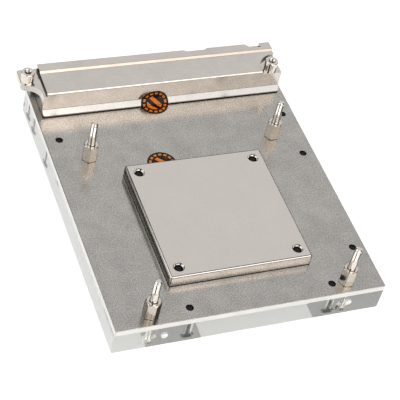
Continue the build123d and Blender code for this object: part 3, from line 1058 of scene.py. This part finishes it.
@dataclass
class CoolingBar(SubAssembly):
    """Stepped bar with its ear, its O-ring and two threaded standoffs.

    Attributes:
        edge_softness: Rounding of the bar's edges.
        foot_zone: Height above the foot within which edges stay sharp.
        slope_height: Height of the narrow slope between the bar's two lands.
        slope_rise: Least and greatest upward part of a normal on that slope.
        ear_turn: Least and greatest sideways part of a normal on the round faces.
        left_end: Place of the bar's left end, without its ear.
        joint_depth: Depth of the joint under the bar's foot, painted dark as shade.
        lead_in: Chamfer at the mouth of a standoff's thread.
        thread_depth: Depth of that thread.
        bore_radius: Radius of a standoff's bore.
        spigot_radius: Radius of the spigot that sits in the bar.
        seat_height: Height of the standoffs' seats above the plate.
    """

    edge_softness: float = 0.12
    foot_zone: float = 0.5
    slope_height: float = 0.9
    slope_rise: Pair = (0.5, 0.9)
    ear_turn: Pair = (0.1, 0.98)
    left_end: float = -52.5
    joint_depth: float = 0.7
    lead_in: float = 0.14
    thread_depth: float = 0.18
    bore_radius: float = 1.4
    spigot_radius: float = 1.95
    seat_height: float = 10.0

    def build(self) -> list[Object]:
        """Builds the bar and the standoffs, and dresses the O-ring.

        Returns:
            The bar, the O-ring and the standoffs.
        """
        span = Span.of("cooling_bar")
        bottom = span.low.z
        bm = merged_copy("cooling_bar")
        round_over(bm, sharp_edges(bm, lambda p: p.z > bottom + self.foot_zone), self.edge_softness)
        undercut(bm, Vector((self.left_end, span.low.y, bottom)), span.high, self.joint_depth)
        bm.normal_update()
        finishes = (MILLED_BAR, JOINT_SHADOW, FLANK_MILLED_SHADED, SLOPE_SHADED)
        low_rise, high_rise = self.slope_rise
        # Oblique upright faces and the narrow slope get darker copies of the bar's plating: painted shade.
        for face in bm.faces:
            normal = face.normal
            upright = abs(normal.z) < UPRIGHT and face.material_index != PAINTED_SHADE_INDEX
            if upright and self.ear_turn[0] < abs(normal.x) < self.ear_turn[1] and normal.y < 0.0:
                face.material_index = finishes.index(FLANK_MILLED_SHADED)
            elif low_rise < normal.z < high_rise and normal.y < -low_rise:
                if face.calc_center_median().z > span.high.z - self.slope_height:
                    face.material_index = finishes.index(SLOPE_SHADED)
        bar = self.piece("stepped_bar", bm, finishes, Slot.BAR, ("cooling_bar",))
        standoffs = [self.standoff(node) for node in ("ear_standoff", "pocket_standoff")]
        return [bar, self.dress("bar_o_ring", RING_RUBBER), *standoffs]

    def standoff(self, node: str) -> Object:
        """Builds a standoff with a threaded bore.

        Args:
            node: CAD node that it stands for.

        Returns:
            The standoff.
        """
        span = Span.of(node)
        radius, bottom, top = span.radius, span.low.z, span.high.z
        mouth = top - self.lead_in
        seat = Span.of("base_plate").high.z + self.seat_height
        profile = [
            (self.bore_radius, bottom),
            (self.spigot_radius, bottom),
            (self.spigot_radius, seat),
            (radius, seat),
            (radius, mouth),
            (radius - self.lead_in, top),
            (self.bore_radius + self.lead_in, top),
            *thread(mouth, bottom, self.bore_radius, self.bore_radius + self.thread_depth),
        ]
        bm = lathe(profile, closed=True)
        span.take(bm)
        return self.piece("threaded_" + node, bm, (TURNED_BRIGHT,), Slot.BRIGHT, (node,))


@dataclass
class Post(SubAssembly):
    """Hexagonal spacer on the plate with the long cap screw that stands out of it.

    Attributes:
        corner: Which of the four posts it is.
        turn: How far the hexagon is turned, in degrees.
        across_flats: Width of the hexagon.
        cone_width: Width of the cone that was turned on the hexagon's corners.
        cone_height: Height of that cone.
        foot_line: Height of the line of painted shade at the spacer's foot.
        shank_radius: Radius of the screw's shank.
        bore_gap: Air between the shank and the spacer.
        shoulder_height: Height of the shank's shoulder above the plate.
        thread_radius: Radius of the pin's thread.
        thread_depth: Depth of that thread.
        tip_chamfer: Chamfer of the pin's tip.
        head_height: Height of the screw's head.
        head_gap: Air over the head.
        socket_flats: Width of the hexagon socket.
        socket_depth: Depth of that socket.
        softness: Rounding of the edges.
    """

    corner: str
    turn: float
    across_flats: float = 5.5
    cone_width: float = 0.55
    cone_height: float = 0.35
    foot_line: float = 0.14
    shank_radius: float = 1.55
    bore_gap: float = 0.05
    shoulder_height: float = 13.0
    thread_radius: float = 1.375
    thread_depth: float = 0.26
    tip_chamfer: float = 0.5
    head_height: float = 3.0
    head_gap: float = 0.02
    socket_flats: float = 2.5
    socket_depth: float = 1.6
    softness: float = 0.08

    def build(self) -> list[Object]:
        """Builds the spacer and its screw."""
        return [self.spacer(), self.screw()]

    def spacer(self) -> Object:
        """Builds the hexagonal spacer by cutting six flats off a turned body.

        Returns:
            The spacer.
        """
        node = "post_spacer_" + self.corner
        span = Span.of(node)
        bottom, top = span.low.z, span.high.z
        reach = self.across_flats / math.sqrt(3)
        bore = self.shank_radius + self.bore_gap
        profile = [
            (bore, bottom),
            (reach - self.cone_width, bottom),
            (reach, bottom + self.cone_height),
            (reach, top - self.cone_height),
            (reach - self.cone_width, top),
            (bore, top),
        ]
        bm = lathe(profile, closed=True)
        for side in range(HEX_SIDES):
            turn = math.radians(self.turn + 360 / HEX_SIDES * side)
            normal = Matrix.Rotation(turn, 3, "Z") @ Vector((0.0, 1.0, 0.0))
            rim = cut_along(bm, normal * self.across_flats / 2, normal, clear_outer=True)
            bmesh.ops.edgeloop_fill(bm, edges=rim)
        weld(bm)
        round_over(bm, sharp_edges(bm, lambda p: p.z > bottom + WELD), self.softness)
        foot_top = bottom + self.foot_line
        cut_along(bm, UP * foot_top, UP)
        bm.normal_update()
        finishes = (DRAWN_HEX, JOINT_SHADOW, TURNED_BRIGHT)
        # The foot line gets painted shade; the cones get the turned finish.
        for face in bm.faces:
            if face.calc_center_median().z < foot_top:
                face.material_index = PAINTED_SHADE_INDEX
            elif abs(face.normal.z) > UPRIGHT:
                face.material_index = finishes.index(TURNED_BRIGHT)
        span.take(bm)
        return self.piece("hex_spacer_" + self.corner, bm, finishes, Slot.BRIGHT, (node,))

    def screw(self) -> Object:
        """Builds the cap screw with its shoulder, thin pin and hexagon socket.

        Returns:
            The screw.
        """
        node = "post_screw_" + self.corner
        span = Span.of(node)
        mouth, tip = span.low.z, span.high.z
        seat = mouth + self.head_height - self.head_gap
        shoulder = Span.of("base_plate").high.z + self.shoulder_height
        root = self.thread_radius - self.thread_depth
        thread_end = tip - self.tip_chamfer
        profile = [
            (span.radius, mouth),
            (span.radius, seat),
            (self.shank_radius, seat),
            (self.shank_radius, shoulder - self.softness),
            (self.shank_radius - self.softness, shoulder),
            (root, shoulder),
            *thread(shoulder, thread_end, root, self.thread_radius),
            (self.thread_radius, thread_end),
            (self.thread_radius - self.tip_chamfer, tip),
            (0.0, tip),
        ]
        bm = lathe(profile)
        add_hex_socket(bm, self.socket_flats, mouth, self.socket_depth, span.radius)
        span.take(bm)
        return self.piece("long_screw_" + self.corner, bm, (TURNED_BRIGHT,), Slot.BRIGHT, (node,))


@dataclass
class ScrewSet(SubAssembly):
    """Equal countersunk black screws that come up from the cover's outer face.

    Attributes:
        node: CAD node that holds the set.
        name: Name of the dressed piece.
        head_radius: Radius of a head.
        head_rim: Height of the head's upright rim.
        shank_radius: Radius of a shank.
        thread_depth: Depth of the thread.
        thread_start: Distance of the thread from the head's face.
        socket_flats: Width of the hexagon socket.
        socket_depth: Depth of that socket.
        tip_chamfer: Chamfer of the tip.
    """

    node: str
    name: str
    head_radius: float = 2.8
    head_rim: float = 0.2
    shank_radius: float = 1.45
    thread_depth: float = 0.2
    thread_start: float = 4.6
    socket_flats: float = 2.0
    socket_depth: float = 1.1
    tip_chamfer: float = 0.3

    def build(self) -> list[Object]:
        """Builds one piece with all screws of the set.

        Returns:
            The piece.
        """
        span = Span.of(self.node)
        whole = bmesh.new()
        for x, y in screw_places(self.node):
            screw = self.screw(span.low.z, span.high.z)
            bmesh.ops.translate(screw, verts=screw.verts, vec=(x, y, 0.0))
            single = bpy.data.meshes.new("single screw")
            screw.to_mesh(single)
            screw.free()
            whole.from_mesh(single)
            bpy.data.meshes.remove(single)
        return [self.piece(self.name, whole, (BLACK_OXIDE,), Slot.BLACK, (self.node,))]

    def screw(self, mouth: float, tip: float) -> BMesh:
        """Builds one screw about the upright axis.

        Args:
            mouth: Level of the head's face.
            tip: Level of the tip.

        Returns:
            The screw as a new bmesh.
        """
        cone_end = mouth + self.head_rim + self.head_radius - self.shank_radius
        thread_end = tip - self.tip_chamfer
        root = self.shank_radius - self.thread_depth
        profile = [
            (self.head_radius, mouth),
            (self.head_radius, mouth + self.head_rim),
            (self.shank_radius, cone_end),
            *thread(mouth + self.thread_start, thread_end, self.shank_radius, root),
            (self.shank_radius, thread_end),
            (self.shank_radius - self.tip_chamfer, tip),
            (0.0, tip),
        ]
        bm = lathe(profile, facets=SCREW_FACETS)
        add_hex_socket(bm, self.socket_flats, mouth, self.socket_depth, self.head_radius)
        return bm


@dataclass
class PaperSeal(SubAssembly):
    """Round printed seal bent over a joint.

    Attributes:
        node: CAD node that it stands for.
        name: Name of the dressed piece.
        wall: Place along Y of the wall that it climbs.
        path: Points that the paper follows, as (y, level) from that wall's foot.
        middle: Distance along the path of the disc's middle.
        open_side: Side of the wall on which the paper is, 1 towards +Y and -1 towards -Y.
        radius: Radius of the flat disc.
        thickness: Thickness of the paper.
        crease_radius: Rounding of the paper's bends.
        crease_turn: Angle in degrees above which a fold is a bend.
        lift: Air and glue under the paper.
    """

    node: str
    name: str
    wall: float
    path: Places
    middle: float
    open_side: float
    radius: float = 6.1
    thickness: float = 0.12
    crease_radius: float = 0.25
    crease_turn: float = 20.0
    lift: float = 0.06

    def build(self) -> list[Object]:
        """Builds the seal flat, maps its print, bends it and gives it its thickness.

        Returns:
            The seal.
        """
        bm = bmesh.new()
        bmesh.ops.create_circle(bm, cap_ends=True, radius=self.radius, segments=FACETS)
        bmesh.ops.translate(bm, verts=bm.verts, vec=(0.0, self.middle, 0.0))
        level = Span.of("base_plate").high.z
        path = [(self.wall + y, level + rise) for y, rise in self.path]
        runs = [Vector((0.0, b[0] - a[0], b[1] - a[1])) for a, b in zip(path, path[1:])]
        reached = 0.0
        for run in runs[:-1]:
            reached += run.length
            cut_along(bm, Vector((0.0, reached, 0.0)), Vector((0.0, 1.0, 0.0)))
        flat = bm.loops.layers.uv.new("flat")
        for face in bm.faces:
            for loop in face.loops:
                across = loop.vert.co.x / self.radius
                along = (loop.vert.co.y - self.middle) / self.radius
                loop[flat].uv = ((across + 1) / 2, (along + 1) / 2)
        self.bend(bm, runs)
        start = Vector((Span.of(self.node).centre.x, *path[0]))
        start += Vector((0.0, self.open_side, 1.0)) * self.lift
        bmesh.ops.translate(bm, verts=bm.verts, vec=start)
        weld(bm)
        creases = sharp_edges(bm, lambda p: True, self.crease_turn)
        round_over(bm, creases, self.crease_radius, 3)
        bmesh.ops.solidify(bm, geom=bm.faces[:], thickness=-self.thickness)
        bmesh.ops.recalc_face_normals(bm, faces=bm.faces)
        return [self.piece(self.name, bm, (SEAL_PRINT,), Slot.PAPER, (self.node,))]

    def bend(self, bm: BMesh, runs: Sequence[Vector]) -> None:
        """Turns the disc about each bend line, the last one first.

        Args:
            bm: Flat disc whose start lies at the path's start.
            runs: The path's straight runs.
        """
        lengths = [run.length for run in runs]
        angles = [math.atan2(run.z, run.y) for run in runs]
        for i in range(len(runs) - 1, -1, -1):
            line = sum(lengths[:i])
            turn = Matrix.Rotation(angles[i] - (angles[i - 1] if i else 0.0), 3, "X")
            beyond = [v for v in bm.verts if v.co.y > line - WELD] if i else bm.verts[:]
            bmesh.ops.rotate(bm, verts=beyond, cent=(0.0, line, 0.0), matrix=turn)


def direction(azimuth: float, elevation: float) -> Vector:
    """Unit vector towards an azimuth, 0 at -Y and 90 at +X, and an elevation, in degrees."""
    turn, rise = math.radians(azimuth), math.radians(elevation)
    return Vector((math.sin(turn) * math.cos(rise), -math.cos(turn) * math.cos(rise), math.sin(rise)))


@dataclass(frozen=True)
class Board:
    """Flat board of the studio that faces the block.

    Attributes:
        name: Name of the board.
        azimuth: Direction from the block, as the views count it, in degrees.
        elevation: Height above the horizon in degrees.
        width: Width in metres.
        height: Height in metres.
    """

    name: str
    azimuth: float
    elevation: float
    width: float
    height: float

    def stand(self, distance: float) -> Matrix:
        """Place and turn of the board at a distance from the block in metres."""
        towards = direction(self.azimuth, self.elevation)
        return Matrix.Translation(towards * distance) @ towards.to_track_quat("Z", "Y").to_matrix().to_4x4()


@dataclass(frozen=True)
class Panel(Board):
    """Softbox.

    Attributes:
        radiance: Brightness of its face.
        tone: Colour of its light.
    """

    radiance: float
    tone: str = "#ffffff"


@dataclass
class Studio:
    """Table, lights, black flags and camera of the photograph.

    Attributes:
        panels: Softboxes.
        panel_distance: Distance of the softboxes from the block in metres.
        watts: Watts of a softbox for each square metre at a radiance of one.
        flags: Black cards that leave dark streaks in the bright metal.
        flag_distance: Distance of the flags from the block in metres.
        camera_azimuth: Azimuth of the camera.
        camera_elevation: Elevation of the camera.
        camera_roll: Roll of the camera.
        camera_distance: Distance from the camera to its target.
        camera_target: Point on the level of the contact face that the camera looks at.
        focal_length: Focal length on a 36 mm wide sensor.
        near_clip: Distance from the camera in metres at which it starts to see.
        table_size: Width and depth of the table in metres.
        table_gap: Air between the table and the block.
        paper_rise: Height of the paper above the cover's lowest face, to which it clings.
        paper_inset: Distance of the paper's edge from the cover's.
        shades: Left and right ends of the grey papers under the front edge, which paint shade into the cover.
        shade_depth: Depth of the grey papers.
        room_light: Colour of the room's light.
        room_strength: Strength of the room's light.
    """

    panels: Sequence[Panel] = (
        Panel("front panel", -9.5, 50.0, 0.59, 0.36, 1.8, "#fff8f3"),
        Panel("right front panel", 38.0, 50.0, 0.76, 0.36, 1.7, "#fff8f3"),
        Panel("low front panel", 12.0, 31.0, 1.4, 0.3, 0.92, "#fbfdff"),
        Panel("left panel", -98.0, 36.0, 1.1, 0.8, 1.15),
        Panel("back panel", 150.0, 46.0, 0.85, 0.64, 0.54),
        Panel("overhead panel", 0.0, 88.0, 0.6, 0.6, 0.6),
    )
    panel_distance: float = 1.0
    watts: float = 4.0
    flags: Sequence[Board] = (
        Board("front flag", -45.5, 48.0, 0.37, 0.9),
        Board("rear flag", -152.0, 46.0, 0.26, 1.0),
        Board("side flag", 102.0, 62.0, 0.5, 0.34),
    )
    flag_distance: float = 0.96
    camera_azimuth: float = -30.357
    camera_elevation: float = 46.012
    camera_roll: float = 14.941
    camera_distance: float = 528.3
    camera_target: tuple[float, float, float] = (-4.96, 6.62, -0.5)
    focal_length: float = 121.54
    near_clip: float = 0.01
    table_size: float = 3.0
    table_gap: float = 0.03
    paper_rise: float = 0.02
    paper_inset: float = 0.1
    shades: Places = ((-41.5, -19.3), (27.0, 54.8))
    shade_depth: float = 21.0
    room_light: str = "#ffffff"
    room_strength: float = 0.15

    def build(self) -> None:
        """Sets up the table, the lights, the room's light and the camera."""
        self.lay_table()
        for panel in self.panels:
            self.hang(panel)
        for flag in self.flags:
            self.put(flag.name, flag.width, flag.height, flag.stand(self.flag_distance), BLACK_CARD)
        self.light_room()
        self.set_camera()

    def lay_table(self) -> None:
        """Lays the white table, and sheets of paper on it that cling to the cover's face and paint light and
        shade into the clear cover.
        """
        span = Span.of("clear_cover")
        half = self.table_size / MM / 2
        corner = Vector((half, half, 0.0))
        inset = Vector((self.paper_inset, self.paper_inset, 0.0))
        # The paper under the cover glows as painted light seen through the acrylic.
        sheets = [
            ("table", -corner, corner, -self.table_gap, WHITE_TABLE),
            ("paper", span.low + inset, span.high - inset, self.paper_rise, GLOWING_UNDERLAY),
        ]
        front = span.low.y
        # Grey sheets under the ends paint shade into the cover.
        for start, end in self.shades:
            low, high = Vector((start, front + self.paper_inset)), Vector((end, front + self.shade_depth))
            sheets.append(("shade", low, high, 2 * self.paper_rise, SHADED_PAPER))
        for name, low, high, rise, finish in sheets:
            size, middle = (high - low) * MM, (low + high) / 2
            place = Matrix.Translation(Vector((middle.x, middle.y, span.low.z + rise)) * MM)
            self.put(name, size.x, size.y, place, finish)

    def put(self, name: str, width: float, height: float, place: Matrix, finish: Finish) -> None:
        """Puts a flat rectangle into the studio.

        Args:
            name: Name of the rectangle.
            width: Width in metres.
            height: Height in metres.
            place: Place and turn in metres.
            finish: Its finish.
        """
        bm = bmesh.new()
        bmesh.ops.create_grid(bm, x_segments=1, y_segments=1, size=0.5)
        bmesh.ops.scale(bm, vec=(width, height, 1.0), verts=bm.verts)
        bmesh.ops.transform(bm, matrix=place, verts=bm.verts)
        show(name, bm, (finish,))

    def hang(self, panel: Panel) -> None:
        """Hangs a softbox so that it faces the block.

        Args:
            panel: The softbox.
        """
        lamp = bpy.data.lights.new(panel.name, "AREA")
        lamp.shape = "RECTANGLE"
        lamp.size, lamp.size_y = panel.width, panel.height
        lamp.energy = self.watts * panel.radiance * panel.width * panel.height
        lamp.color = linear(panel.tone)[:3]
        light = bpy.data.objects.new(panel.name, lamp)
        light.matrix_basis = panel.stand(self.panel_distance)
        bpy.context.scene.collection.objects.link(light)

    def light_room(self) -> None:
        """Fills the room with a dim even light."""
        world = bpy.data.worlds.new("room")
        world.use_nodes = True
        tree = world.node_tree
        tree.nodes.clear()
        light = {"Color": linear(self.room_light), "Strength": self.room_strength}
        room = add_node(tree, "ShaderNodeBackground", light)
        add_node(tree, "ShaderNodeOutputWorld", {"Surface": room.outputs[0]})
        bpy.context.scene.world = world

    def set_camera(self) -> None:
        """Places the camera as the photograph's was."""
        back = direction(self.camera_azimuth, self.camera_elevation)
        lens = bpy.data.cameras.new("camera")
        lens.lens = self.focal_length
        lens.clip_start = self.near_clip
        camera = bpy.data.objects.new("camera", lens)
        camera.rotation_mode = "QUATERNION"
        roll = Quaternion(UP, math.radians(self.camera_roll))
        camera.rotation_quaternion = (-back).to_track_quat("-Z", "Y") @ roll
        camera.location = (Vector(self.camera_target) + back * self.camera_distance) * MM
        scene = bpy.context.scene
        scene.collection.objects.link(camera)
        scene.camera = camera
        scene.view_settings.view_transform = "Standard"
        scene.cycles.max_bounces = 24
        scene.cycles.glossy_bounces = 8
        scene.cycles.transmission_bounces = 20
        scene.cycles.transparent_max_bounces = 16


def sub_assemblies() -> list[SubAssembly]:
    """Lists the block's sub-assemblies, with what the frame tells them.

    Returns:
        The sub-assemblies in their order.
    """
    bar_front, plate_back = Span.of("cooling_bar").low.y, Span.of("cold_plate").high.y
    return [
        ClearCover(),
        BasePlate(),
        ColdPlate(),
        CoolingBar(),
        *(Post(corner, turn) for corner, turn in POST_TURNS.items()),
        ScrewSet("cover_screws", "black_cover_screws"),
        ScrewSet("cold_plate_screws", "black_cold_plate_screws"),
        ScrewSet("cooling_bar_screws", "black_bar_screws"),
        PaperSeal("foot_seal", "printed_foot_seal", bar_front, FOOT_PATH, FOOT_MIDDLE, -1.0),
        PaperSeal("edge_seal", "printed_edge_seal", plate_back, EDGE_PATH, EDGE_MIDDLE, 1.0),
    ]


def main() -> None:
    """Builds every sub-assembly and the studio, and reports each piece."""
    logging.basicConfig(level=logging.INFO, format="%(name)s: %(message)s")
    for group in sub_assemblies():
        for shown in group.build():
            LOG.info("%s has %d faces", shown.name, len(shown.data.polygons))
    Studio().build()


if __name__ == "__main__":
    main()
